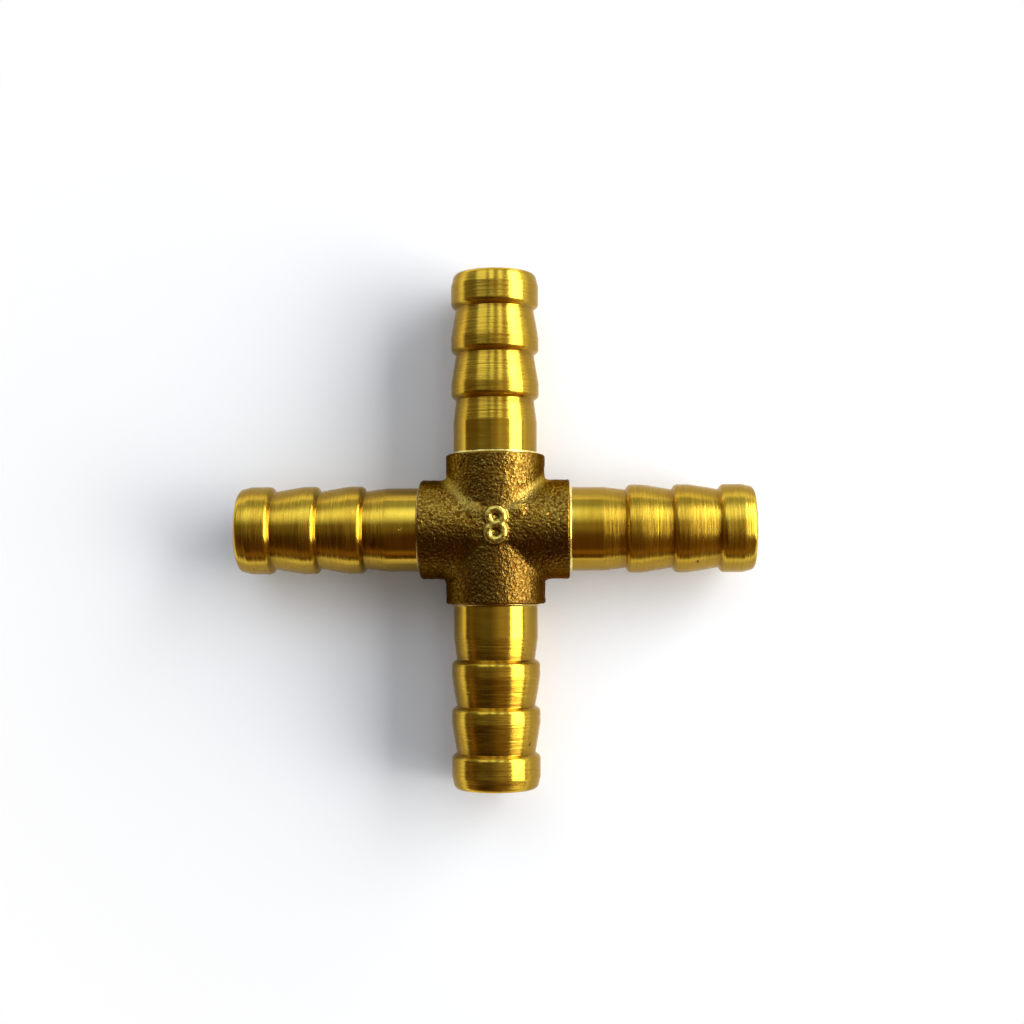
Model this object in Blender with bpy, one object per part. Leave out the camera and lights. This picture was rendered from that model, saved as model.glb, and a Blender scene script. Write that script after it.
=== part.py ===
"""A four-way hose cross in brass: a cast hub with four turned hose tails brazed into its sockets.

Metres, +Z up. The origin is where the waterways cross, and the tails run along -X, +X, -Y and +Y.
Distances named out are measured from the origin along a tail's axis.
"""

import math

import bmesh
import bpy

# Hose tail, across
HOSE_BORE = 0.0080  # inside diameter of the hose, and outside diameter of the shank
SPIGOT_WALL = 0.00065  # wall of the reduced end that goes into the hub
SHOULDER_STEP = 0.0006  # how far the shank stands proud of the spigot
BARB_HEIGHT = 0.0002  # how far a barb's crest stands proud of the shank
NECK_DEPTH = 0.00028  # how far the foot of a shoulder lies below the shank
BROW_DROP = 0.0001  # how far a crest's rounding falls towards its back slope
LEAD_DROP = 0.00036  # how far the lead-in at the open end falls from the last crest
SPIGOT_LEAD = 0.0002  # chamfer on the spigot's nose
MOUTH_CHAMFER = 0.00025  # chamfer on the bore at the open end

# Hose tail, along
SHANK_LENGTH = 0.0030  # plain shank, from the hub to the first taper
RUNOUT_LENGTH = 0.0023  # taper from the shank down to the first neck
SHOULDER_LENGTH = 0.00025  # steep back slope up from a neck
CREST_ROUND = 0.00015  # rounding from the back slope over to the crest
CREST_LAND = 0.0010  # level top of a barb
BARB_PITCH = 0.0044  # from one shoulder to the next
END_LAND = 0.0019  # level top of the last barb
LEAD_LENGTH = 0.0010  # rounded lead-in at the open end
BARB_COUNT = 3

# Cast hub
HUB_LIP = 0.0007  # how far a collar stands proud of the shank
COLLAR_LENGTH = 0.0024  # from the side of the crossing collar to a collar's end face
CROTCH_FILLET = 0.0008  # fillet where two collars meet
COLLAR_CHAMFER = 0.0002  # broken edge round a collar's end face
CORNER_WEB = 0.00105  # metal left between a socket's floor and the side of the crossing socket

# Brazed joints
BRAZE_GAP = 0.00005  # all round a spigot in its socket
SEAT_GAP = 0.00005  # between a tail's shoulder and the hub's end face
NOSE_GAP = 0.0001  # between a spigot's nose and its socket's floor
SEAM_GAP = 0.00003  # between a filler ring and the metal that it bonds
BRAZE_FILLET = 0.00036  # leg of the filler ring's section
BRAZE_TOE = 0.00005  # thickness of the filler ring at its feathered edges

# Facets
TURN_STEPS = 36  # round a full turn
TAPER_STEPS = 3
LEAD_STEPS = 4
FILLET_STEPS = 4
BRAZE_STEPS = 3
TAPER_POWER = 1.35  # a taper leaves its land gently and gets steeper
SHARP_ANGLE = math.radians(30)
MERGE_DISTANCE = 1e-7

# Worked out from the sizes above
SHANK_R = HOSE_BORE / 2
SPIGOT_R = SHANK_R - SHOULDER_STEP
BORE_R = SPIGOT_R - SPIGOT_WALL
CREST_R = SHANK_R + BARB_HEIGHT
NECK_R = SHANK_R - NECK_DEPTH
SOCKET_R = SPIGOT_R + BRAZE_GAP
HUB_R = SHANK_R + HUB_LIP
HUB_FACE_OUT = HUB_R + COLLAR_LENGTH
SOCKET_FLOOR_OUT = SOCKET_R + CORNER_WEB
SEAT_OUT = HUB_FACE_OUT + SEAT_GAP
NOSE_OUT = SOCKET_FLOOR_OUT + NOSE_GAP

TAIL_TURNS = {
    "right": 0.0,
    "back": math.pi / 2,
    "left": math.pi,
    "front": -math.pi / 2,
}


def clear_scene():
    for old in list(bpy.data.objects):
        bpy.data.objects.remove(old, do_unlink=True)


def brass(name, colour, roughness):
    material = bpy.data.materials.new(name)
    material.use_nodes = True
    shader = material.node_tree.nodes["Principled BSDF"]
    shader.inputs["Base Color"].default_value = (*colour, 1.0)
    shader.inputs["Roughness"].default_value = roughness
    shader.inputs["Metallic"].default_value = 1.0
    return material


def finished_mesh(name, shape, material):
    """A mesh from the shape, closed, facing out and smooth but for its real edges."""
    bmesh.ops.remove_doubles(shape, verts=shape.verts, dist=MERGE_DISTANCE)
    bmesh.ops.dissolve_degenerate(shape, edges=shape.edges, dist=MERGE_DISTANCE)
    bmesh.ops.recalc_face_normals(shape, faces=shape.faces)
    mesh = bpy.data.meshes.new(name)
    shape.to_mesh(mesh)
    shape.free()
    mesh.materials.append(material)
    mesh.shade_smooth()
    mesh.set_sharp_from_angle(angle=SHARP_ANGLE)
    return mesh


def turned(name, section, material):
    """A closed section of (out, radius) points, spun round the X axis."""
    shape = bmesh.new()
    corners = [shape.verts.new((out, 0.0, radius)) for out, radius in section]
    for here, there in zip(corners, corners[1:] + corners[:1]):
        shape.edges.new((here, there))
    bmesh.ops.spin(
        shape,
        geom=list(shape.verts) + list(shape.edges),
        cent=(0.0, 0.0, 0.0),
        axis=(1.0, 0.0, 0.0),
        angle=2 * math.pi,
        steps=TURN_STEPS,
        use_merge=True,
    )
    return finished_mesh(name, shape, material)


def taper(start_out, end_out, start_r, end_r):
    """Points after the start of a taper that falls away more and more steeply."""
    points = []
    for step in range(1, TAPER_STEPS + 1):
        along = step / TAPER_STEPS
        out = start_out + (end_out - start_out) * along
        points.append((out, start_r - (start_r - end_r) * along**TAPER_POWER))
    return points


def barb(foot_out, land):
    """The back slope of a barb whose shoulder starts at foot_out, and its crest."""
    brow_out = foot_out + SHOULDER_LENGTH
    crest_out = brow_out + CREST_ROUND
    return [(brow_out, CREST_R - BROW_DROP), (crest_out, CREST_R), (crest_out + land, CREST_R)]


def lead_in(start_out):
    """The rounded end of the last barb, a quarter of an ellipse."""
    points = []
    for step in range(1, LEAD_STEPS + 1):
        turn = math.pi / 2 * step / LEAD_STEPS
        out = start_out + LEAD_LENGTH * math.sin(turn)
        points.append((out, CREST_R - LEAD_DROP * (1 - math.cos(turn))))
    return points


def tail_section():
    """The section of a hose tail, from its spigot's nose to its open end and back along the bore."""
    section = [
        (NOSE_OUT, BORE_R),
        (NOSE_OUT, SPIGOT_R - SPIGOT_LEAD),
        (NOSE_OUT + SPIGOT_LEAD, SPIGOT_R),
        (SEAT_OUT, SPIGOT_R),
        (SEAT_OUT, SHANK_R),
    ]
    shank_end_out = SEAT_OUT + SHANK_LENGTH
    foot_out = shank_end_out + RUNOUT_LENGTH
    section.append((shank_end_out, SHANK_R))
    section += taper(shank_end_out, foot_out, SHANK_R, NECK_R)
    for _ in range(BARB_COUNT - 1):
        section += barb(foot_out, CREST_LAND)
        land_end_out = section[-1][0]
        foot_out += BARB_PITCH
        section += taper(land_end_out, foot_out, CREST_R, NECK_R)
    section += barb(foot_out, END_LAND)
    section += lead_in(section[-1][0])
    end_out = section[-1][0]
    section.append((end_out, BORE_R + MOUTH_CHAMFER))
    section.append((end_out - MOUTH_CHAMFER, BORE_R))
    return section


def braze_section():
    """The filler in the corner between a hub's end face and a shank, with a hollow face."""
    face_out = HUB_FACE_OUT + SEAM_GAP
    inner_r = SHANK_R + SEAM_GAP
    hollow_r = BRAZE_FILLET - BRAZE_TOE
    section = [(face_out, inner_r), (face_out, inner_r + BRAZE_FILLET)]
    for step in range(BRAZE_STEPS + 1):
        turn = math.pi / 2 * step / BRAZE_STEPS
        out = face_out + BRAZE_FILLET - hollow_r * math.cos(turn)
        section.append((out, inner_r + BRAZE_FILLET - hollow_r * math.sin(turn)))
    section.append((face_out + BRAZE_FILLET, inner_r))
    return section


def hub_ring(lean, x_side, y_side):
    """One closed ring of the hub's wall, between an X collar and a Y collar.

    lean is the angle up from level, from straight down to straight up. The wall of two crossing
    collars is these rings side by side, and each has a ball rolled along the valley as its fillet.
    """
    level, up = math.cos(lean), math.sin(lean)
    half = [
        (SOCKET_FLOOR_OUT, BORE_R),
        (SOCKET_FLOOR_OUT, SOCKET_R),
        (HUB_FACE_OUT, SOCKET_R),
        (HUB_FACE_OUT, HUB_R - COLLAR_CHAMFER),
        (HUB_FACE_OUT - COLLAR_CHAMFER, HUB_R),
    ]
    along_x = [(out, radius * level, radius * up) for out, radius in half]
    along_y = [(radius * level, out, radius * up) for out, radius in reversed(half)]

    ball = HUB_R + CROTCH_FILLET
    valley = []
    opening = math.acos(up * up)
    for step in range(FILLET_STEPS + 1):
        share = step / FILLET_STEPS
        near_x, near_y = 1 - share, share
        if opening > MERGE_DISTANCE:
            near_x = math.sin((1 - share) * opening) / math.sin(opening)
            near_y = math.sin(share * opening) / math.sin(opening)
        valley.append(
            (
                level * (ball - CROTCH_FILLET * near_y),
                level * (ball - CROTCH_FILLET * near_x),
                up * (ball - CROTCH_FILLET * (near_x + near_y)),
            )
        )

    crossing = [(BORE_R * level, BORE_R * level, BORE_R * up)]
    ring = crossing + along_x + valley + along_y
    return [(x * x_side, y * y_side, z) for x, y, z in ring]


def hub_mesh(material):
    shape = bmesh.new()
    lean_steps = TURN_STEPS // 2
    for x_side in (1, -1):
        for y_side in (1, -1):
            rings = []
            for step in range(lean_steps + 1):
                lean = math.pi * (step / lean_steps - 0.5)
                rings.append([shape.verts.new(point) for point in hub_ring(lean, x_side, y_side)])
            for lower, upper in zip(rings, rings[1:]):
                for i in range(len(lower)):
                    shape.faces.new((lower[i - 1], lower[i], upper[i], upper[i - 1]))
    return finished_mesh("hub_casting", shape, material)


def place(name, mesh, parent, turn=0.0):
    piece = bpy.data.objects.new(name, mesh)
    piece.parent = parent
    piece.rotation_euler.z = turn
    bpy.context.scene.collection.objects.link(piece)


def main():
    clear_scene()
    cast_brass = brass("cast_brass", (0.36, 0.22, 0.045), 0.5)
    turned_brass = brass("turned_brass", (0.75, 0.52, 0.10), 0.2)
    braze_filler = brass("braze_filler", (0.86, 0.72, 0.38), 0.25)

    fitting = bpy.data.objects.new("cross_fitting", None)
    bpy.context.scene.collection.objects.link(fitting)
    place("hub_casting", hub_mesh(cast_brass), fitting)
    tail = turned("hose_tail", tail_section(), turned_brass)
    braze = turned("braze_ring", braze_section(), braze_filler)
    for side, turn in TAIL_TURNS.items():
        place(f"hose_tail_{side}", tail, fitting, turn)
        place(f"braze_ring_{side}", braze, fitting, turn)


main()
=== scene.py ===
"""Looks of a brass cross for 8 mm hose: a sand-cast hub, four turned tails and their braze.

Metres, +Z up. Distances named out are measured from the middle of the hub along an arm.
"""

import math

import bpy
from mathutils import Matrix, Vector


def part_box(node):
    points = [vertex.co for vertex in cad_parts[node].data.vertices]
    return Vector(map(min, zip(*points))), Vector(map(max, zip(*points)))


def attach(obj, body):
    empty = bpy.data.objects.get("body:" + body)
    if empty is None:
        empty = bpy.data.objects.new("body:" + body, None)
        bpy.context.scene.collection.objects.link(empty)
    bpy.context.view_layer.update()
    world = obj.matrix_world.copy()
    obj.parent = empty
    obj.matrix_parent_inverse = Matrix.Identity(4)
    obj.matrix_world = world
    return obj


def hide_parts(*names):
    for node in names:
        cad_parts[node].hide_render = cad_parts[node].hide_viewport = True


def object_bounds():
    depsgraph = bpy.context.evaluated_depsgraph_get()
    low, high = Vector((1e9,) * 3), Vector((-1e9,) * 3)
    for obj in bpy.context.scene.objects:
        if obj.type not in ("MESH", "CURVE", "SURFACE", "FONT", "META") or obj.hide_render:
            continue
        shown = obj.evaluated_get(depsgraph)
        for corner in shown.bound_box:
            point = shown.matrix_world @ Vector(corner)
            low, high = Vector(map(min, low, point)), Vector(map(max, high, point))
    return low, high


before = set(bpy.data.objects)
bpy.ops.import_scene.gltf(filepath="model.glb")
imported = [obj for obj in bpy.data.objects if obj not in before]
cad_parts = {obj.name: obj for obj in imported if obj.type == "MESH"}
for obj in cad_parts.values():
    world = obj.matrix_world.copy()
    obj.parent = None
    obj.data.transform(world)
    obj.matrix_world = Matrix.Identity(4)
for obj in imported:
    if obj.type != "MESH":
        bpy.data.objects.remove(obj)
cad_low, cad_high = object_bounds()

MM = 0.001

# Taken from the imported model
_, hub_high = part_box("hub_casting")
tail_low, tail_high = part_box("hose_tail_right")
braze_low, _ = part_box("braze_ring_right")
HUB_R = hub_high.z
HUB_FACE_OUT = hub_high.x
NOSE_OUT = tail_low.x
TAIL_END_OUT = tail_high.x
CREST_R = tail_high.z
FILLER_OUT = braze_low.x

# The turned tail, across
SHANK_R = 4.0 * MM
SPIGOT_R = 3.4 * MM
SPIGOT_CHAMFER = 0.2 * MM
SOCKET_R = 3.45 * MM
BORE_R = 2.75 * MM
NECK_R = 3.72 * MM
LEAD_DROP = 0.23 * MM
END_FACE_R = 3.72 * MM
MOUTH_CHAMFER = 0.25 * MM

# The turned tail, along
SEAT_GAP = 0.05 * MM
SEAT_OUT = HUB_FACE_OUT + SEAT_GAP
SOCKET_FLOOR_OUT = 4.5 * MM
SHANK_LENGTH = 3.0 * MM
RUNOUT_LENGTH = 2.22 * MM
SHOULDER_LENGTH = 0.33 * MM
CREST_ROUND = 0.27 * MM
LAND_LENGTH = 1.17 * MM
BARB_PITCH = 4.4 * MM
BARB_COUNT = 3
LEAD_LENGTH = 1.15 * MM
LEAD_NOSE = 0.2 * MM
TAPER_POWER = 1.12  # a taper leaves its land gently and gets steeper
TAPER_STEPS = 12

# How far the tail's corners are softened
FOOT_SOFTNESS = 0.05 * MM
LAND_SOFTNESS = 0.05 * MM
SEAT_SOFTNESS = 0.03 * MM
SHANK_SOFTNESS = 0.12 * MM
LEAD_SOFTNESS = 0.2 * MM
END_SOFTNESS = 0.08 * MM
MOUTH_SOFTNESS = 0.04 * MM

# How finely the pieces are made
TURN_STEPS = 160
OUTLINE_STEP = 0.05 * MM
BEND_STEPS = 6
BARREL_STEPS = 256
START_PLANE = 0.1 * MM
MERGE_DISTANCE = 0.002 * MM
TURNED_SMOOTH = math.radians(40)
FILLER_SMOOTH = math.radians(50)
CAST_SMOOTH = math.radians(55)

# Marks of the lathe
RIDGE_HEIGHT = 0.0009 * MM
RIDGE_SPACINGS = (0.23 * MM, 0.149 * MM)
RIDGE_SHARES = (0.6, 0.4)
RIDGE_LAG = 1.3
SHANK_RIDGES = 0.2  # the shank is smoother than the rest
TAPER_GROOVE_DEPTH = 0.012 * MM
LEAD_GROOVE_DEPTH = 0.004 * MM
GROOVE_WIDTH = 0.045 * MM
GROOVE_BEFORE_FOOT = 1.4 * MM
LEAD_GROOVES = (0.95 * MM, 0.72 * MM, 0.5 * MM)

# The brazing filler
FILLER_GAP = 0.03 * MM
FILLER_LEG = 0.2 * MM
FILLER_TOE = 0.04 * MM
FILLER_STEPS = 8
FILLER_RIPPLE_SIZE = 0.7 * MM
FILLER_RIPPLE_DEPTH = 0.04 * MM

# The cast skin
SKIN_VOXEL = 0.1 * MM
END_TRIM = 0.6 * MM
SEAM_STAND = 0.05 * MM
SEAM_THICKNESS = 0.22 * MM
EDGE_BREAK = 0.1 * MM
VALLEY_START = 1.4 * MM
VALLEY_RAMP = 1.0 * MM
VALLEY_WIDTH = 2.0 * MM
SMOOTHING = 0.5
VALLEY_ROUNDS = 90
SKIN_ROUNDS = 4
LUMP_SIZE = 1.3 * MM
LUMP_DEPTH = 0.08 * MM
GRAIN_SIZE = 0.28 * MM
GRAIN_DEPTH = 0.10 * MM

# The raised mark on the hub's crown
PAD_MIDDLE = (0.25 * MM, 0.35 * MM)
PAD_SIZE = (6.3 * MM, 4.5 * MM)
PAD_STAND = -0.04 * MM
PAD_DEPTH = 1.5 * MM
PAD_CORNER = 1.1 * MM
PAD_EDGE = 0.9 * MM
PAD_STEPS = 5
NUMBER_STROKE_R = 0.42 * MM
NUMBER_RINGS = (0.68 * MM, -0.76 * MM)
NUMBER_STEPS = 64
STROKE_STEPS = 24

# How near a face lies to a cut surface to count as part of it
NEARLY = 0.01 * MM
SOCKET_REACH = 0.05 * MM
MOUTH_REACH = 0.1 * MM
UPRIGHT_LIMIT = 0.3  # largest Z in the normal of an end face

TAIL_TURNS = {"right": 0.0, "back": math.pi / 2, "left": math.pi, "front": -math.pi / 2}


def nothing_selected():
    if bpy.context.object and bpy.context.object.mode != "OBJECT":
        bpy.ops.object.mode_set(mode="OBJECT")
    bpy.ops.object.select_all(action="DESELECT")


def only(piece):
    nothing_selected()
    piece.select_set(True)
    bpy.context.view_layer.objects.active = piece


def edit_all(piece):
    only(piece)
    bpy.ops.object.mode_set(mode="EDIT")
    bpy.ops.mesh.select_all(action="SELECT")


def settle(piece):
    """The piece's place goes into its mesh."""
    only(piece)
    bpy.ops.object.transform_apply(location=True, rotation=True, scale=True)


def finish_modifiers(piece):
    only(piece)
    for modifier in list(piece.modifiers):
        bpy.ops.object.modifier_apply(modifier=modifier.name)


# Turned pieces


def bend(before, corner, after, radius):
    """Points of a soft corner, from one side of it to the other."""
    before, corner, after = Vector(before), Vector(corner), Vector(after)
    reach_in = min(radius, (before - corner).length / 2)
    reach_out = min(radius, (after - corner).length / 2)
    start = corner + (before - corner).normalized() * reach_in
    end = corner + (after - corner).normalized() * reach_out
    points = []
    for step in range(BEND_STEPS + 1):
        share = step / BEND_STEPS
        points.append(tuple(start.lerp(corner, share).lerp(corner.lerp(end, share), share)))
    return points


def outline_points(corners):
    """A closed outline from corners of (out, radius, softness)."""
    soft = []
    for i, (out, radius, softness) in enumerate(corners):
        if softness:
            after = corners[(i + 1) % len(corners)]
            soft += bend(corners[i - 1][:2], (out, radius), after[:2], softness)
        else:
            soft.append((out, radius))
    return soft


def barb_corners(foot_out, land_end_out):
    return [
        (foot_out, NECK_R, FOOT_SOFTNESS),
        (foot_out + SHOULDER_LENGTH, CREST_R, CREST_ROUND),
        (land_end_out, CREST_R, LAND_SOFTNESS),
    ]


def taper_corners(start_out, foot_out, start_r):
    """Corners along a taper, after its start and before its foot."""
    corners = []
    for step in range(1, TAPER_STEPS):
        share = step / TAPER_STEPS
        out = start_out + (foot_out - start_out) * share
        corners.append((out, start_r - (start_r - NECK_R) * share**TAPER_POWER, 0))
    return corners


def foot_outs():
    """Where the shoulders of the barbs start."""
    first = SEAT_OUT + SHANK_LENGTH + RUNOUT_LENGTH
    return [first + barb * BARB_PITCH for barb in range(BARB_COUNT)]


def tail_corners():
    """Corners of a tail's half section, from the spigot's nose round the outside and down the bore."""
    corners = [
        (NOSE_OUT, BORE_R, 0),
        (NOSE_OUT, SPIGOT_R - SPIGOT_CHAMFER, 0),
        (NOSE_OUT + SPIGOT_CHAMFER, SPIGOT_R, 0),
        (SEAT_OUT, SPIGOT_R, 0),
        (SEAT_OUT, SHANK_R, SEAT_SOFTNESS),
        (SEAT_OUT + SHANK_LENGTH, SHANK_R, SHANK_SOFTNESS),
    ]
    feet = foot_outs()
    corners += taper_corners(SEAT_OUT + SHANK_LENGTH, feet[0], SHANK_R)
    for foot_out in feet[:-1]:
        land_end_out = foot_out + SHOULDER_LENGTH + LAND_LENGTH
        corners += barb_corners(foot_out, land_end_out)
        corners += taper_corners(land_end_out, foot_out + BARB_PITCH, CREST_R)
    corners += barb_corners(feet[-1], TAIL_END_OUT - LEAD_LENGTH)
    corners += [
        (TAIL_END_OUT - LEAD_NOSE, CREST_R - LEAD_DROP, LEAD_SOFTNESS),
        (TAIL_END_OUT, END_FACE_R, END_SOFTNESS),
        (TAIL_END_OUT, BORE_R + MOUTH_CHAMFER, MOUTH_SOFTNESS),
        (TAIL_END_OUT - MOUTH_CHAMFER, BORE_R, MOUTH_SOFTNESS),
    ]
    return corners


def lathe_marks(out, radius):
    """How far the lathe left the surface from true at this place."""
    if radius < NECK_R or out < SEAT_OUT:
        return 0.0
    wide, narrow = RIDGE_SPACINGS
    wide_share, narrow_share = RIDGE_SHARES
    ridge = wide_share * math.sin(2 * math.pi * out / wide)
    ridge += narrow_share * math.sin(2 * math.pi * out / narrow + RIDGE_LAG)
    if out < SEAT_OUT + SHANK_LENGTH:
        return SHANK_RIDGES * ridge * RIDGE_HEIGHT
    height = ridge * RIDGE_HEIGHT
    grooves = [(foot_out - GROOVE_BEFORE_FOOT, TAPER_GROOVE_DEPTH) for foot_out in foot_outs()]
    grooves += [(TAIL_END_OUT - from_end, LEAD_GROOVE_DEPTH) for from_end in LEAD_GROOVES]
    for groove_out, depth in grooves:
        height -= depth * math.exp(-(((out - groove_out) / GROOVE_WIDTH) ** 2))
    return height


def in_short_steps(points):
    """The same closed outline with no step on its outer side longer than OUTLINE_STEP."""
    stepped = []
    just_under_neck = NECK_R - 0.001 * MM
    for here, there in zip(points, points[1:] + points[:1]):
        outside = min(here[1], there[1]) >= just_under_neck and here[0] < there[0]
        count = max(1, math.ceil(math.dist(here, there) / OUTLINE_STEP)) if outside else 1
        for step in range(count):
            share = step / count
            out = here[0] + (there[0] - here[0]) * share
            radius = here[1] + (there[1] - here[1]) * share
            stepped.append((out, radius + lathe_marks(out, radius)))
    return stepped


def turned(name, outline, steps):
    """A closed outline of (out, radius), drawn by extruding a point and spun round the X axis."""
    nothing_selected()
    first_out, first_radius = outline[0]
    bpy.ops.mesh.primitive_plane_add(size=START_PLANE, location=(first_out, 0, first_radius))
    piece = bpy.context.object
    piece.name = name
    piece.data.name = name
    settle(piece)
    edit_all(piece)
    bpy.ops.mesh.merge(type="CENTER")
    for here, there in zip(outline, outline[1:] + outline[:1]):
        stride = (there[0] - here[0], 0, there[1] - here[1])
        bpy.ops.mesh.extrude_vertices_move(TRANSFORM_OT_translate={"value": stride})
    bpy.ops.mesh.select_all(action="SELECT")
    bpy.ops.mesh.remove_doubles(threshold=MERGE_DISTANCE)
    bpy.ops.mesh.spin(steps=steps, angle=2 * math.pi, center=(0, 0, 0), axis=(1, 0, 0))
    bpy.ops.mesh.select_all(action="SELECT")
    bpy.ops.mesh.remove_doubles(threshold=MERGE_DISTANCE)
    bpy.ops.mesh.delete_loose(use_verts=True, use_edges=True, use_faces=False)
    bpy.ops.mesh.select_all(action="SELECT")
    bpy.ops.mesh.normals_make_consistent(inside=False)
    bpy.ops.object.mode_set(mode="OBJECT")
    return piece


def copies_round_the_hub(piece, kind):
    """The piece on the right-hand arm, and a copy of it with its own mesh on each other arm."""
    around = {}
    for side, turn in TAIL_TURNS.items():
        if turn == 0.0:
            around[side] = piece
            continue
        only(piece)
        bpy.ops.object.duplicate(linked=False)
        copy = bpy.context.object
        copy.rotation_euler.z = turn
        settle(copy)
        around[side] = copy
    for side, copy in around.items():
        copy.name = f"{kind}_{side}"
        copy.data.name = copy.name
    return around


def hose_tails():
    outline = in_short_steps(outline_points(tail_corners()))
    tail = turned("turned_tail", outline, TURN_STEPS)
    only(tail)
    bpy.ops.object.shade_smooth_by_angle(angle=TURNED_SMOOTH)
    return copies_round_the_hub(tail, "turned_tail")


def braze_fillets():
    """Filler in the corner between a hub face and a shank, hollow-faced and a little uneven."""
    inner_r = SHANK_R + FILLER_GAP
    hollow = FILLER_LEG - FILLER_TOE
    outline = [(FILLER_OUT, inner_r), (FILLER_OUT, inner_r + FILLER_LEG)]
    for step in range(FILLER_STEPS + 1):
        turn = math.pi / 2 * step / FILLER_STEPS
        out = FILLER_OUT + FILLER_LEG - hollow * math.cos(turn)
        outline.append((out, inner_r + FILLER_LEG - hollow * math.sin(turn)))
    outline.append((FILLER_OUT + FILLER_LEG, inner_r))
    fillet = turned("braze_fillet", outline, TURN_STEPS)
    ripple = bpy.data.textures.new("filler_ripple", "CLOUDS")
    ripple.noise_scale = FILLER_RIPPLE_SIZE
    uneven = fillet.modifiers.new("uneven", "DISPLACE")
    uneven.texture = ripple
    uneven.texture_coords = "LOCAL"
    uneven.strength = FILLER_RIPPLE_DEPTH
    finish_modifiers(fillet)
    bpy.ops.object.shade_smooth_by_angle(angle=FILLER_SMOOTH)
    return copies_round_the_hub(fillet, "braze_fillet")


# The cast hub


def weighted(piece, name, weight_at):
    """A vertex group with a weight from each vertex's place."""
    group = piece.vertex_groups.new(name=name)
    for vertex in piece.data.vertices:
        weight = weight_at(vertex.co)
        if weight > 0:
            group.add([vertex.index], weight, "REPLACE")
    return name


def in_a_crotch(place):
    """1 in the valley between two collars, falling to 0 on the plain wall."""
    across = abs(abs(place.x) - abs(place.y))
    deep = min(abs(place.x), abs(place.y))
    if deep < VALLEY_START:
        return 0.0
    near_middle = max(0.0, 1.0 - across / VALLEY_WIDTH)
    return near_middle * min(1.0, (deep - VALLEY_START) / VALLEY_RAMP)


def add_barrel(turn, radius, length):
    nothing_selected()
    bpy.ops.mesh.primitive_cylinder_add(
        vertices=BARREL_STEPS,
        radius=radius,
        depth=length,
        rotation=turn,
    )
    barrel = bpy.context.object
    settle(barrel)
    return barrel


def add_seam_plate(long, wide):
    """A thin plate in the mould's joint plane, which leaves a faint seam round the casting."""
    nothing_selected()
    bpy.ops.mesh.primitive_cube_add(size=1, scale=(long, wide, SEAM_THICKNESS))
    plate = bpy.context.object
    settle(plate)
    return plate


def soften_edges(piece, wanted, width, segments):
    """Bevels the edges that are wanted, chosen by their two ends."""
    edit_all(piece)
    bpy.ops.mesh.select_mode(type="EDGE")
    bpy.ops.mesh.select_all(action="DESELECT")
    bpy.ops.object.mode_set(mode="OBJECT")
    corners = piece.data.vertices
    for edge in piece.data.edges:
        edge.select = wanted(corners[edge.vertices[0]].co, corners[edge.vertices[1]].co)
    bpy.ops.object.mode_set(mode="EDIT")
    bpy.ops.mesh.bevel(offset=width, segments=segments, affect="EDGES")
    bpy.ops.mesh.select_mode(type="VERT")
    bpy.ops.object.mode_set(mode="OBJECT")


def add_mark_pad():
    """A low pad on the hub's crown, under the raised number."""
    top = HUB_R + PAD_STAND
    nothing_selected()
    bpy.ops.mesh.primitive_cube_add(
        size=1,
        location=(*PAD_MIDDLE, top - PAD_DEPTH / 2),
        scale=(*PAD_SIZE, PAD_DEPTH),
    )
    pad = bpy.context.object
    settle(pad)
    soften_edges(pad, lambda a, b: abs(a.z - b.z) > PAD_DEPTH / 2, PAD_CORNER, PAD_STEPS)
    soften_edges(pad, lambda a, b: min(a.z, b.z) > top - NEARLY, PAD_EDGE, PAD_STEPS)
    return pad


def add_size_number():
    """A plain raised 8, the hose size, as two beads cast on the pad."""
    beads = []
    for ring in NUMBER_RINGS:
        nothing_selected()
        bpy.ops.mesh.primitive_torus_add(
            location=(PAD_MIDDLE[0], PAD_MIDDLE[1] + ring, HUB_R + PAD_STAND),
            major_radius=abs(ring),
            minor_radius=NUMBER_STROKE_R,
            major_segments=NUMBER_STEPS,
            minor_segments=STROKE_STEPS,
        )
        bead = bpy.context.object
        settle(bead)
        beads.append(bead)
    return beads


def joined(pieces):
    only(pieces[0])
    for piece in pieces[1:]:
        piece.select_set(True)
    bpy.ops.object.join()
    return bpy.context.object


def add_roughness(piece, name, size, depth):
    lumps = bpy.data.textures.new(name, "CLOUDS")
    lumps.noise_scale = size
    rough = piece.modifiers.new(name, "DISPLACE")
    rough.texture = lumps
    rough.texture_coords = "LOCAL"
    rough.strength = depth
    rough.mid_level = 0.5


def cut(piece, cutter):
    """Takes the cutter's shape out of the piece."""
    hole = piece.modifiers.new("cut", "BOOLEAN")
    hole.operation = "DIFFERENCE"
    hole.solver = "MANIFOLD"
    hole.object = cutter
    finish_modifiers(piece)
    only(cutter)
    bpy.ops.object.delete()


def facing_tools():
    """What a facing cut takes off each collar's end, with a broken edge."""
    edge_r = HUB_R - EDGE_BREAK
    outline = [
        (HUB_FACE_OUT, 0),
        (HUB_FACE_OUT, edge_r),
        (HUB_FACE_OUT - 3 * EDGE_BREAK, edge_r + 3 * EDGE_BREAK),
        (HUB_FACE_OUT - 3 * EDGE_BREAK, 2 * HUB_R),
        (HUB_FACE_OUT + 2 * END_TRIM, 2 * HUB_R),
        (HUB_FACE_OUT + 2 * END_TRIM, 0),
    ]
    return copies_round_the_hub(turned("facing_tool", outline, TURN_STEPS), "facing_tool").values()


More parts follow.
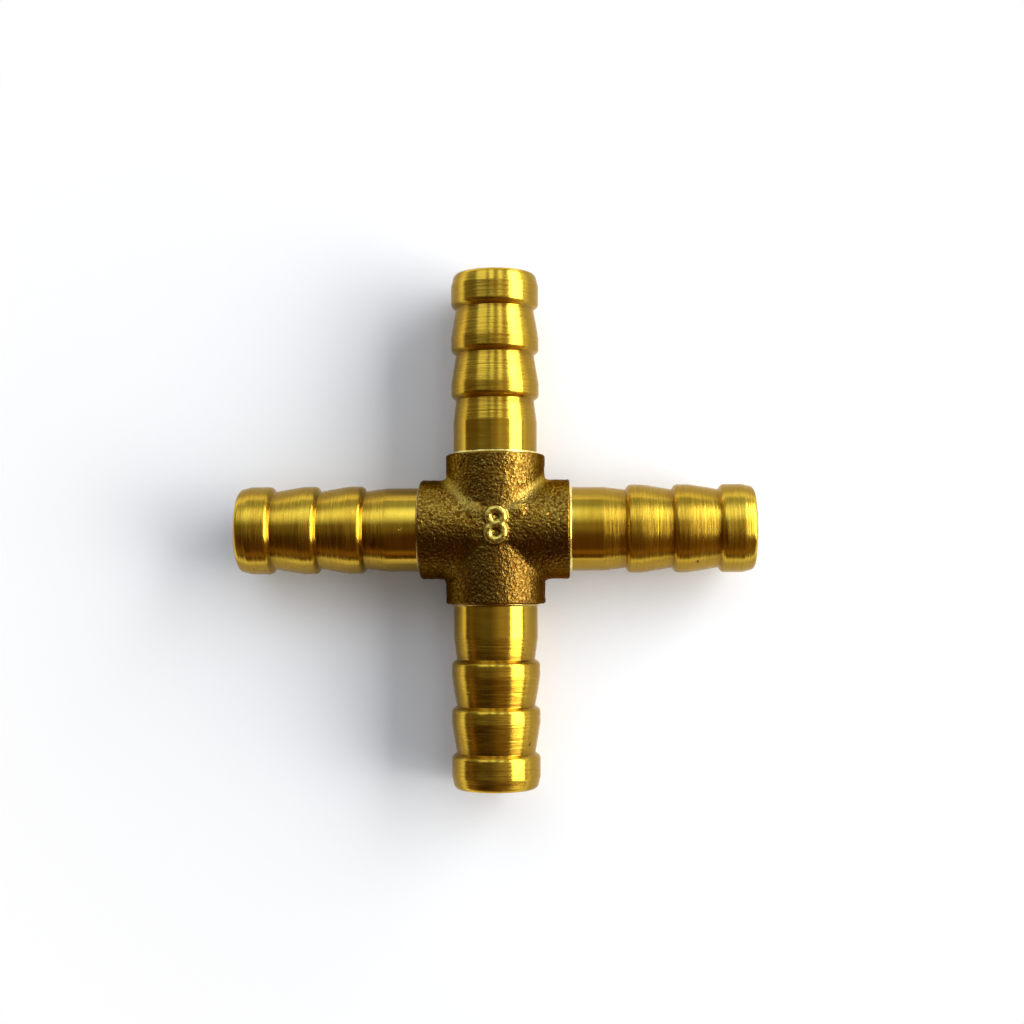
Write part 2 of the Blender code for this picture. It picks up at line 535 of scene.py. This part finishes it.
def drill(piece, radius, start_out, end_out, turn):
    """A round hole along an arm."""
    middle = (start_out + end_out) / 2
    nothing_selected()
    bpy.ops.mesh.primitive_cylinder_add(
        vertices=TURN_STEPS,
        radius=radius,
        depth=end_out - start_out,
        location=(middle * math.cos(turn), middle * math.sin(turn), 0),
        rotation=(0, math.pi / 2, turn),
    )
    cutter = bpy.context.object
    settle(cutter)
    cut(piece, cutter)


def cast_hub():
    length = 2 * (HUB_FACE_OUT + END_TRIM)
    pieces = [add_barrel((0, math.pi / 2, 0), HUB_R, length)]
    pieces += [add_barrel((math.pi / 2, 0, 0), HUB_R, length)]
    wide = 2 * (HUB_R + SEAM_STAND)
    pieces += [add_seam_plate(length, wide), add_seam_plate(wide, length)]
    pieces += [add_mark_pad(), *add_size_number()]
    hub = joined(pieces)
    hub.name = "cast_hub"
    hub.data.name = "cast_hub"
    settle(hub)

    skin = hub.modifiers.new("skin", "REMESH")
    skin.mode = "VOXEL"
    skin.voxel_size = SKIN_VOXEL
    finish_modifiers(hub)

    fillet = hub.modifiers.new("crotch_fillet", "SMOOTH")
    fillet.factor = SMOOTHING
    fillet.iterations = VALLEY_ROUNDS
    fillet.vertex_group = weighted(hub, "valleys", in_a_crotch)
    ease = hub.modifiers.new("ease", "SMOOTH")
    ease.factor = SMOOTHING
    ease.iterations = SKIN_ROUNDS
    add_roughness(hub, "mould_lumps", LUMP_SIZE, LUMP_DEPTH)
    add_roughness(hub, "sand_grain", GRAIN_SIZE, GRAIN_DEPTH)
    finish_modifiers(hub)

    end_out = HUB_FACE_OUT + END_TRIM
    for tool in facing_tools():
        cut(hub, tool)
    for turn in TAIL_TURNS.values():
        drill(hub, SOCKET_R, SOCKET_FLOOR_OUT, end_out, turn)
    for turn in (0.0, math.pi / 2):
        drill(hub, BORE_R, -end_out, end_out, turn)
    only(hub)
    bpy.ops.object.shade_smooth_by_angle(angle=CAST_SMOOTH)
    return hub


# Finishes


class Nodes:
    """Short ways to lay nodes in a tree."""

    def __init__(self, tree):
        self.tree = tree

    def node(self, kind, **settings):
        made = self.tree.nodes.new(kind)
        for key, value in settings.items():
            setattr(made, key, value)
        return made

    def feed(self, socket, value):
        """A number or colour is set on the socket, and another socket is linked to it."""
        if isinstance(value, bpy.types.NodeSocket):
            self.tree.links.new(value, socket)
        elif isinstance(value, tuple) and socket.type == "RGBA":
            socket.default_value = (*value, 1.0)
        else:
            socket.default_value = value

    def sum(self, operation, first, second=0.0):
        made = self.node("ShaderNodeMath", operation=operation)
        self.feed(made.inputs[0], first)
        self.feed(made.inputs[1], second)
        return made.outputs[0]

    def product(self, *factors):
        result = factors[0]
        for factor in factors[1:]:
            result = self.sum("MULTIPLY", result, factor)
        return result

    def span(self, value, low, high, to_low=0.0, to_high=1.0):
        """Runs smoothly from one value to the other as the input goes from low to high."""
        made = self.node("ShaderNodeMapRange", interpolation_type="SMOOTHSTEP")
        for key, number in (("From Min", low), ("From Max", high), ("To Min", to_low), ("To Max", to_high)):
            made.inputs[key].default_value = number
        self.feed(made.inputs["Value"], value)
        return made.outputs[0]

    def tint(self, factor, first, second):
        made = self.node("ShaderNodeMix", data_type="RGBA")
        self.feed(made.inputs[0], factor)
        self.feed(made.inputs[6], first)
        self.feed(made.inputs[7], second)
        return made.outputs[2]

    def parts(self, vector):
        made = self.node("ShaderNodeSeparateXYZ")
        self.feed(made.inputs[0], vector)
        return made.outputs


class Finish(Nodes):
    """A brass finish whose nodes run from the Object coordinates to the shader."""

    def __init__(self, name):
        self.material = bpy.data.materials.new(name)
        self.material.use_nodes = True
        super().__init__(self.material.node_tree)
        self.shader = self.tree.nodes["Principled BSDF"]
        self.shader.inputs["Metallic"].default_value = 1.0

    def place(self, turn=0.0):
        """Object coordinates in mm, turned so that X runs along the arm."""
        made = self.node("ShaderNodeMapping")
        made.inputs["Rotation"].default_value = (0, 0, turn)
        made.inputs["Scale"].default_value = (1 / MM, 1 / MM, 1 / MM)
        self.feed(made.inputs["Vector"], self.node("ShaderNodeTexCoord").outputs["Object"])
        return made.outputs["Vector"]

    def stretch(self, vector, scale):
        made = self.node("ShaderNodeMapping")
        made.inputs["Scale"].default_value = scale
        self.feed(made.inputs["Vector"], vector)
        return made.outputs["Vector"]

    def noise(self, vector, scale, detail=2.0, roughness=0.5):
        made = self.node("ShaderNodeTexNoise")
        for key, number in (("Scale", scale), ("Detail", detail), ("Roughness", roughness)):
            made.inputs[key].default_value = number
        self.feed(made.inputs["Vector"], vector)
        return made.outputs[0]

    def cells(self, vector, scale):
        made = self.node("ShaderNodeTexVoronoi")
        made.inputs["Scale"].default_value = scale
        self.feed(made.inputs["Vector"], vector)
        return made.outputs

    def wavy(self, vector, scale, reach):
        """The same places moved a little this way and that, so that spots get uneven edges."""
        waves = self.node("ShaderNodeTexNoise")
        waves.inputs["Scale"].default_value = scale
        self.feed(waves.inputs["Vector"], vector)
        made = self.node("ShaderNodeVectorMath", operation="MULTIPLY_ADD")
        self.feed(made.inputs[0], waves.outputs["Color"])
        self.feed(made.inputs[1], (2 * reach, 2 * reach, 2 * reach))
        self.feed(made.inputs[2], self.shifted(vector, -reach))
        return made.outputs[0]

    def shifted(self, vector, reach):
        made = self.node("ShaderNodeVectorMath", operation="ADD")
        self.feed(made.inputs[0], vector)
        self.feed(made.inputs[1], (reach, reach, reach))
        return made.outputs[0]

    def spot(self, vector, middle, core, width):
        """1 within the core of a spot, falling to 0 at its width."""
        made = self.node("ShaderNodeVectorMath", operation="DISTANCE")
        self.feed(made.inputs[0], vector)
        self.feed(made.inputs[1], middle)
        return self.span(made.outputs["Value"], core, width, 1.0, 0.0)

    def bump(self, height, depth, under=None):
        made = self.node("ShaderNodeBump")
        made.inputs["Distance"].default_value = depth
        self.feed(made.inputs["Height"], height)
        if under:
            self.feed(made.inputs["Normal"], under)
        return made.outputs["Normal"]

    def wear(self, colour, roughness, normal):
        for key, value in (("Base Color", colour), ("Roughness", roughness), ("Normal", normal)):
            self.feed(self.shader.inputs[key], value)
        return self.material

    def edge_colour(self, colour):
        """What the metal reflects at a low angle, where it would else turn white."""
        self.feed(self.shader.inputs["Specular Tint"], colour)

    def brushed_round(self, axis, strength):
        """Grooves round an axis, which spread a reflection along it and leave it sharp across."""
        grooves = self.node("ShaderNodeTangent", direction_type="RADIAL", axis=axis)
        self.feed(self.shader.inputs["Tangent"], grooves.outputs[0])
        self.shader.inputs["Anisotropic"].default_value = strength
        self.shader.inputs["Anisotropic Rotation"].default_value = 0.25


BRIGHT_BRASS = (0.80, 0.536, 0.053)
WARM_BRASS = (0.70, 0.405, 0.031)
STAINED_BRASS = (0.32, 0.1309, 0.01309)
GROOVE_BRASS = (0.4945, 0.2691, 0.01891)
# Painted shade on the tails' flanks, where they face the table beside them
FLANK_SHADE_BRASS = (0.2182, 0.1236, 0.01745)
PIT_BROWN = (0.1455, 0.06545, 0.01745)
TURNED_EDGE = (0.94, 0.845, 0.685)
FLANK_HEIGHTS = (2.35, 3.2)  # mm above and below the arm's middle, between which the painted shade on the flanks fades out
FLANK_SHADE_STRENGTH = 0.76

DRILLED_BRASS = (0.7564, 0.48, 0.07273)
DRILLED_BROWN = (0.4364, 0.2327, 0.04364)

CAST_DARK = (0.1455, 0.05818, 0.005818)
CAST_BROWN = (0.2182, 0.09891, 0.008727)
CAST_HIGH = (0.36, 0.25, 0.045)
# Painted highlight in the valleys between collars on the back half of the hub
CAST_VALLEY_HIGHLIGHT = (0.6109, 0.4218, 0.08)
# Painted light on the back half of the left and right collars
CAST_LIT_COLLAR = (0.70, 0.43, 0.047)
# Painted shade on the front of the hub
CAST_FRONT_SHADE = (0.1018, 0.03782, 0.008727)
# Painted shade on the hub's flanks, away from its crown
CAST_SIDE_SHADE = (0.05818, 0.02618, 0.004364)
# Rubbed bright metal on the raised number, with a painted highlight on top
CAST_RUBBED_HIGHLIGHT = (1.0, 0.7855, 0.16)
CAST_EDGE = (0.63, 0.46, 0.286)

FACED_BRASS = (0.9018, 0.5818, 0.08727)
FACED_BROWN = (0.5818, 0.3345, 0.05091)

FILLER_PALE = (1.0, 0.9018, 0.2909)
FILLER_BROWN = (0.7273, 0.4218, 0.07273)
# Painted shade on the left and front of each fillet
FILLER_SHADE = (0.2909, 0.1309, 0.02182)

# Nicks and stains on the tails, each a place in mm and a width
NICKS = (
    ((-8.7, -0.1, 4.0), 0.16),
    ((3.2, -20.2, 2.1), 0.28),
    ((19.0, -3.05, 2.5), 0.24),
)
STAINS = (
    ((-1.3, -19.2, 3.7), 1.3),
    ((-11.0, -1.6, 3.7), 1.6),
)


def turned_brass(name, axis, turn):
    """Bright turned brass: lines of the tool round the arm, stained necks, a few pits and painted shade on
    the flanks.
    """
    finish = Finish(name)
    place = finish.place(turn)
    along, across, up = finish.parts(place)
    squares = finish.sum("ADD", finish.sum("POWER", across, 2.0), finish.sum("POWER", up, 2.0))
    radius = finish.sum("SQRT", squares)
    out = finish.sum("ABSOLUTE", along)

    tool_lines = finish.noise(finish.stretch(place, (4.6, 0.3, 0.3)), 1.0, 2.0, 0.6)
    chatter = finish.noise(finish.stretch(place, (3.0, 0.6, 0.6)), 1.0, 1.0, 0.5)
    patches = finish.noise(place, 0.18, 2.0)
    smears = finish.noise(finish.stretch(place, (1.4, 0.35, 0.35)), 1.0, 3.0, 0.6)

    past_shank = finish.span(out, 10.0, 10.4)
    in_neck = finish.span(radius, 3.73, 3.84, 1.0, 0.0)
    pits = finish.cells(place, 0.5)
    picked = finish.span(pits["Color"], 0.84, 0.86)
    pit = finish.product(finish.span(pits["Distance"], 0.03, 0.06, 1.0, 0.0), picked)

    colour = finish.tint(finish.span(patches, 0.35, 0.70, 0.0, 0.6), BRIGHT_BRASS, WARM_BRASS)
    grooves = finish.span(tool_lines, 0.36, 0.56, 0.45, 0.0)
    grooves = finish.product(grooves, finish.span(past_shank, 0.0, 1.0, 0.4, 1.0))
    colour = finish.tint(grooves, colour, GROOVE_BRASS)
    stain = finish.product(in_neck, past_shank, finish.span(smears, 0.3, 0.7, 0.2, 0.7))
    colour = finish.tint(stain, colour, STAINED_BRASS)
    # Painted shade: each tail's flanks are darkened, most at the arm's middle height
    flank_shade = finish.span(finish.sum("ABSOLUTE", up), *FLANK_HEIGHTS, FLANK_SHADE_STRENGTH, 0.0)
    colour = finish.tint(flank_shade, colour, FLANK_SHADE_BRASS)
    marked = finish.wavy(finish.place(), 5.0, 0.35)
    for middle, width in NICKS:
        pit = finish.sum("MAXIMUM", pit, finish.spot(marked, middle, 0.6 * width, width))
    for middle, width in STAINS:
        stained = finish.spot(marked, middle, 0.2 * width, width)
        stained = finish.product(stained, finish.span(smears, 0.35, 0.65, 0.2, 0.8))
        colour = finish.tint(stained, colour, STAINED_BRASS)
    colour = finish.tint(pit, colour, PIT_BROWN)

    polish = finish.span(tool_lines, 0.3, 0.7, 0.17, 0.21)
    polish = finish.sum("ADD", polish, finish.product(past_shank, 0.07))
    polish = finish.sum("ADD", polish, finish.product(pit, 0.3))

    tool_height = finish.sum("ADD", tool_lines, finish.product(chatter, 0.7))
    tool_height = finish.product(tool_height, finish.sum("ADD", finish.product(past_shank, 0.75), 0.25))
    normal = finish.bump(tool_height, 0.016 * MM)
    normal = finish.bump(finish.product(pit, -1.0), 0.02 * MM, normal)
    finish.brushed_round(axis, 0.8)
    finish.edge_colour(TURNED_EDGE)
    return finish.wear(colour, polish, normal)


def drilled_brass():
    """The waterway: drilled, dull and brown inside."""
    finish = Finish("drilled_waterway")
    place = finish.place()
    swirls = finish.noise(place, 3.0, 3.0, 0.6)
    cloud = finish.noise(place, 0.5, 3.0)
    colour = finish.tint(finish.span(cloud, 0.35, 0.65), DRILLED_BRASS, DRILLED_BROWN)
    roughness = finish.span(swirls, 0.3, 0.7, 0.28, 0.42)
    return finish.wear(colour, roughness, finish.bump(swirls, 0.008 * MM))


def cast_skin():
    """Sand-cast brass: a dark, grainy skin with painted shade on its front and low on its flanks, painted
    light in the back valleys and on the back of the left and right collars, and rubbed bright on the raised
    number with a painted highlight.
    """
    finish = Finish("sand_cast_skin")
    place = finish.place()
    x, y, up = [finish.sum("ABSOLUTE", part) for part in finish.parts(place)]
    to_front = finish.span(finish.parts(place)[1], -1.2, 0.8, 1.0, 0.0)
    to_back = finish.sum("SUBTRACT", 1.0, to_front)
    past_valley = finish.sum("SUBTRACT", x, y)
    in_valley = finish.span(finish.sum("ABSOLUTE", past_valley), 0.3, 1.1, 1.0, 0.0)
    # Painted highlight: the valleys between collars, on the back half only
    valley = finish.product(in_valley, to_back)
    side_collars = finish.span(past_valley, 0.0, 1.2)
    grain = finish.noise(place, 3.8, 3.0, 0.6)
    sand = finish.cells(place, 4.2)["Distance"]
    patches = finish.noise(place, 0.45, 3.0, 0.55)
    rubbed = finish.span(up, 4.82, 5.0)
    height = finish.sum("ADD", grain, finish.product(sand, -0.4))
    high_spots = finish.span(height, 0.15, 0.55)
    dark = finish.tint(finish.span(patches, 0.35, 0.65), CAST_DARK, CAST_BROWN)
    colour = finish.tint(high_spots, dark, CAST_HIGH)
    colour = finish.tint(finish.product(valley, 0.5), colour, CAST_VALLEY_HIGHLIGHT)
    # Painted light on the back half of the left and right collars
    lit_collars = finish.product(side_collars, to_back, high_spots, 0.4)
    colour = finish.tint(lit_collars, colour, CAST_LIT_COLLAR)
    # Painted shade on the front half of the hub, strongest on the left and right collars
    front_shade = finish.product(to_front, finish.span(side_collars, 0.0, 1.0, 0.3, 0.5))
    colour = finish.tint(front_shade, colour, CAST_FRONT_SHADE)
    out_of_valley = finish.sum("SUBTRACT", 1.0, finish.product(valley, 0.8))
    # Painted shade: the flanks darken below the crown, less in the back valleys
    side_shade = finish.product(finish.span(up, 1.6, 3.6, 0.85, 0.0), out_of_valley)
    colour = finish.tint(side_shade, colour, CAST_SIDE_SHADE)
    # Rubbed bright tops of the number, partly a painted highlight
    colour = finish.tint(finish.product(rubbed, 0.7), colour, CAST_RUBBED_HIGHLIGHT)
    roughness = finish.span(high_spots, 0.0, 1.0, 0.38, 0.21)
    roughness = finish.sum("SUBTRACT", roughness, finish.product(rubbed, 0.05))
    relief = finish.product(height, finish.sum("SUBTRACT", 1.0, finish.product(rubbed, 0.6)))
    finish.edge_colour(CAST_EDGE)
    return finish.wear(colour, roughness, finish.bump(relief, 0.075 * MM))


def faced_brass():
    """The collars' end faces, cut flat and left from the tool."""
    finish = Finish("faced_collar")
    place = finish.place()
    cloud = finish.noise(place, 1.2, 3.0)
    fine = finish.noise(place, 9.0, 2.0)
    colour = finish.tint(cloud, FACED_BRASS, FACED_BROWN)
    return finish.wear(colour, finish.span(fine, 0.3, 0.7, 0.2, 0.34), finish.bump(fine, 0.006 * MM))


def filler_metal():
    """Pale brazing filler with brown spots, and painted shade on the left and front of the fitting."""
    finish = Finish("brazing_filler")
    place = finish.place()
    x, y, _ = finish.parts(place)
    ripple = finish.noise(place, 1.8, 2.0)
    spots = finish.noise(place, 4.0, 3.0, 0.6)
    colour = finish.tint(finish.span(spots, 0.42, 0.70, 0.0, 0.8), FILLER_PALE, FILLER_BROWN)
    # Painted shade: darker towards the left and front of the fitting
    left_front_shade = finish.span(finish.sum("ADD", x, y), -5.0, 5.0, 0.75, 0.0)
    colour = finish.tint(left_front_shade, colour, FILLER_SHADE)
    roughness = finish.span(spots, 0.3, 0.7, 0.18, 0.34)
    return finish.wear(colour, roughness, finish.bump(ripple, 0.015 * MM))


def give(piece, materials):
    piece.data.materials.clear()
    for material in materials:
        piece.data.materials.append(material)


def assign_where(piece, slot, wanted):
    """Gives one of the piece's materials to the faces that are wanted."""
    edit_all(piece)
    bpy.ops.mesh.select_mode(type="FACE")
    bpy.ops.mesh.select_all(action="DESELECT")
    bpy.ops.object.mode_set(mode="OBJECT")
    for face in piece.data.polygons:
        face.select = wanted(face)
    bpy.ops.object.mode_set(mode="EDIT")
    piece.active_material_index = slot
    bpy.ops.object.material_slot_assign()
    bpy.ops.object.mode_set(mode="OBJECT")


def on_hub_face(face):
    middle = face.center
    furthest = max(abs(middle.x), abs(middle.y))
    return furthest > HUB_FACE_OUT - 0.5 * EDGE_BREAK and abs(face.normal.z) < UPRIGHT_LIMIT


def in_waterway(face):
    middle = face.center
    beside_x = math.hypot(middle.y, middle.z)
    beside_y = math.hypot(middle.x, middle.z)
    furthest = max(abs(middle.x), abs(middle.y))
    return min(beside_x, beside_y) < SOCKET_R + SOCKET_REACH and furthest < HUB_FACE_OUT - NEARLY


def on_bore(face):
    middle = face.center
    furthest = max(abs(middle.x), abs(middle.y))
    nearest = min(abs(middle.x), abs(middle.y))
    return math.hypot(nearest, middle.z) < BORE_R + NEARLY and furthest < TAIL_END_OUT - MOUTH_REACH


# The object

hub = cast_hub()
tails = hose_tails()
fillets = braze_fillets()

waterway = drilled_brass()
along_x = turned_brass("turned_brass_along_x", "X", 0.0)
along_y = turned_brass("turned_brass_along_y", "Y", -math.pi / 2)
filler = filler_metal()

give(hub, [cast_skin(), faced_brass(), waterway])
assign_where(hub, 1, on_hub_face)
assign_where(hub, 2, in_waterway)
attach(hub, "root")
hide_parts("hub_casting")

for side in TAIL_TURNS:
    give(tails[side], [along_x if side in ("left", "right") else along_y, waterway])
    assign_where(tails[side], 1, on_bore)
    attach(tails[side], "root")
    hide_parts(f"hose_tail_{side}")
    give(fillets[side], [filler])
    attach(fillets[side], "root")
    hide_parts(f"braze_ring_{side}")

# Table

TABLE_SIZE = 6.0
TABLE_GAP = 0.06 * MM
TABLE_COLOUR = (0.98, 0.98, 0.98)
TABLE_ROUGHNESS = 0.9
TABLE_FADE = (0.022, 0.07)  # how far out it starts to turn plain white, and where it has


def table_white():
    """Matt white, which turns to plain white further out for the camera and for reflections."""
    material = bpy.data.materials.new("table_white")
    material.use_nodes = True
    table = Nodes(material.node_tree)
    matt = material.node_tree.nodes["Principled BSDF"]
    matt.inputs["Base Color"].default_value = (*TABLE_COLOUR, 1)
    matt.inputs["Roughness"].default_value = TABLE_ROUGHNESS
    matt.inputs["Specular IOR Level"].default_value = 0.0
    from_middle = table.node("ShaderNodeVectorMath", operation="LENGTH")
    table.feed(from_middle.inputs[0], table.node("ShaderNodeTexCoord").outputs["Object"])
    far_white = table.node("ShaderNodeEmission")
    far_white.inputs["Color"].default_value = (1, 1, 1, 1)
    rays = table.node("ShaderNodeLightPath").outputs
    seen = table.sum("MAXIMUM", rays["Is Camera Ray"], rays["Is Glossy Ray"])
    seen = table.sum("MAXIMUM", seen, rays["Is Transmission Ray"])
    far_out = table.span(from_middle.outputs["Value"], *TABLE_FADE)
    top = table.node("ShaderNodeMixShader")
    table.feed(top.inputs[0], table.product(far_out, seen))
    table.feed(top.inputs[1], matt.outputs["BSDF"])
    table.feed(top.inputs[2], far_white.outputs["Emission"])
    table.feed(material.node_tree.nodes["Material Output"].inputs["Surface"], top.outputs[0])
    return material


nothing_selected()
bpy.ops.mesh.primitive_plane_add(size=TABLE_SIZE, location=(0, 0, cad_low.z - TABLE_GAP))
floor = bpy.context.object
floor.name = "white_table"
settle(floor)
give(floor, [table_white()])

# Lights

PANEL_WHITE = (1.0, 1.0, 1.0)
WINDOW_COOL = (1.0, 1.16, 1.42)
RIGHT_RADIANCE = 5.5
RIGHT_PLACE = (0.45, 0.22, 0.2725)
RIGHT_FACING = (-1, 0, 0)
RIGHT_SIZE = (0.76, 0.375)
FILL_RADIANCE = 5.5
FILL_PLACE = (0.55, -0.14, 0.20)
FILL_SIZE = (0.40, 0.25)
BACK_FOOT = Vector((0, 0.60, 0.235))
BACK_TOP = Vector((0, 0.115, 0.57))

# Panes of the leaning window behind: left and right edge, radiance and the height where it is brightest
BACK_PANES = {
    "back_left": (-0.46, -0.16, 1.17, 0.45),
    "back_slim_left": (-0.095, -0.005, 1.51, 0.45),
    "back_slim_right": (0.10, 0.195, 1.51, 0.62),
    "back_right": (0.36, 0.66, 1.51, 0.45),
}


def add_panel(name, middle, towards, width, height, radiance, colour):
    """A plain soft panel of light at a place, facing along a direction."""
    nothing_selected()
    bpy.ops.object.light_add(type="AREA", location=middle)
    lamp = bpy.context.object
    lamp.name = name
    lamp.rotation_euler = Vector(towards).to_track_quat("-Z", "Y").to_euler()
    lamp.data.shape = "RECTANGLE"
    lamp.data.size = width
    lamp.data.size_y = height
    lamp.data.energy = radiance * width * height * math.pi
    lamp.data.color = colour
    return lamp


def fade_up_and_down(lamp, brightest):
    """Lets a panel fade from its brightest height to nothing at its foot and its top."""
    lamp.data.use_nodes = True
    panel = Nodes(lamp.data.node_tree)
    height = panel.parts(panel.node("ShaderNodeNewGeometry").outputs["Parametric"])[1]
    rising = panel.span(height, 0.0, brightest)
    falling = panel.span(height, brightest, 1.0, 1.0, 0.0)
    strength = lamp.data.node_tree.nodes["Emission"].inputs["Strength"]
    panel.feed(strength, panel.product(rising, falling))


def add_back_panes():
    lean = BACK_TOP - BACK_FOOT
    facing = (0, -lean.z, lean.y)
    for name, (left, right, radiance, brightest) in BACK_PANES.items():
        middle = (BACK_FOOT + BACK_TOP) / 2 + Vector(((left + right) / 2, 0, 0))
        pane = add_panel(name, middle, facing, right - left, lean.length, radiance, WINDOW_COOL)
        fade_up_and_down(pane, brightest)


add_panel("right_softbox", RIGHT_PLACE, RIGHT_FACING, *RIGHT_SIZE, RIGHT_RADIANCE, PANEL_WHITE)
to_middle = -Vector(FILL_PLACE)
table_fill = add_panel("table_fill", FILL_PLACE, to_middle, *FILL_SIZE, FILL_RADIANCE, PANEL_WHITE)
table_fill.visible_glossy = False
add_back_panes()

# Room

LEFT_DIM = (0.1134, 0.08594, 0.04813)
RIGHT_GLOW = (0.385, 0.3231, 0.2544)
BACK_GLOW = (0.3575, 0.3987, 0.44)
FRONT_LEFT = (0.033, 0.01169, 0.006875)
FRONT_RIGHT = (0.1375, 0.06875, 0.022)
FRONT_SHELF = (0.2269, 0.1203, 0.04125)
FRONT_FOOT = (0.1031, 0.055, 0.02406)
FRONT_ON_TABLE = (0.1031, 0.1066, 0.1134)
TABLE_HAZE = 0.14  # share of white in the light that the room throws on the table
BACKDROP_WHITE = (1, 1, 1)


def dim_studio():
    """A dim room, darker to the left and front, with a white backdrop and a white band at the horizon."""
    world = bpy.data.worlds.new("dim_studio")
    world.use_nodes = True
    sky = Nodes(world.node_tree)
    rays = sky.node("ShaderNodeLightPath").outputs
    x, y, z = sky.parts(sky.node("ShaderNodeTexCoord").outputs["Generated"])
    shelf = sky.product(sky.span(z, 0.19, 0.31), sky.span(z, 0.39, 0.53, 1.0, 0.0))
    front = sky.tint(sky.span(x, -0.35, 0.35), FRONT_LEFT, FRONT_RIGHT)
    front = sky.tint(shelf, front, FRONT_SHELF)
    front = sky.tint(sky.span(z, 0.0, 0.16), FRONT_FOOT, front)
    front = sky.tint(rays["Is Diffuse Ray"], front, FRONT_ON_TABLE)
    room = sky.tint(sky.span(x, -0.25, 0.4), LEFT_DIM, RIGHT_GLOW)
    room = sky.tint(sky.span(y, 0.05, 0.95), room, BACK_GLOW)
    room = sky.tint(sky.span(y, -0.35, 0.08), front, room)
    room = sky.tint(sky.product(rays["Is Diffuse Ray"], TABLE_HAZE), room, BACKDROP_WHITE)
    horizon = sky.product(sky.span(z, 0.01, 0.09, 1.0, 0.0), sky.span(y, -0.3, 0.1))
    mirrored = sky.sum("MAXIMUM", rays["Is Glossy Ray"], rays["Is Transmission Ray"])
    seen_white = sky.sum("MAXIMUM", rays["Is Camera Ray"], sky.product(horizon, mirrored))
    backdrop = sky.tint(seen_white, room, BACKDROP_WHITE)
    sky.feed(world.node_tree.nodes["Background"].inputs["Color"], backdrop)
    return world


bpy.context.scene.world = dim_studio()

# Camera

CAMERA_HEIGHT = 138 * MM
CAMERA_PLACE = (7.05 * MM, -5.25 * MM, CAMERA_HEIGHT)
CAMERA_TURN = (0.0498, 0.0398, -0.0045)
CAMERA_SENSOR = 36.0
PIXELS_PER_MM = 10.456
PICTURE_PIXELS = 1024

nothing_selected()
bpy.ops.object.camera_add(location=CAMERA_PLACE, rotation=CAMERA_TURN)
camera = bpy.context.object
camera.data.sensor_width = CAMERA_SENSOR
camera.data.lens = PIXELS_PER_MM * (CAMERA_HEIGHT / MM) / PICTURE_PIXELS * CAMERA_SENSOR
camera.data.clip_start = 10 * MM
camera.data.clip_end = 20.0
bpy.context.scene.camera = camera

bpy.context.scene.view_settings.view_transform = "Standard"
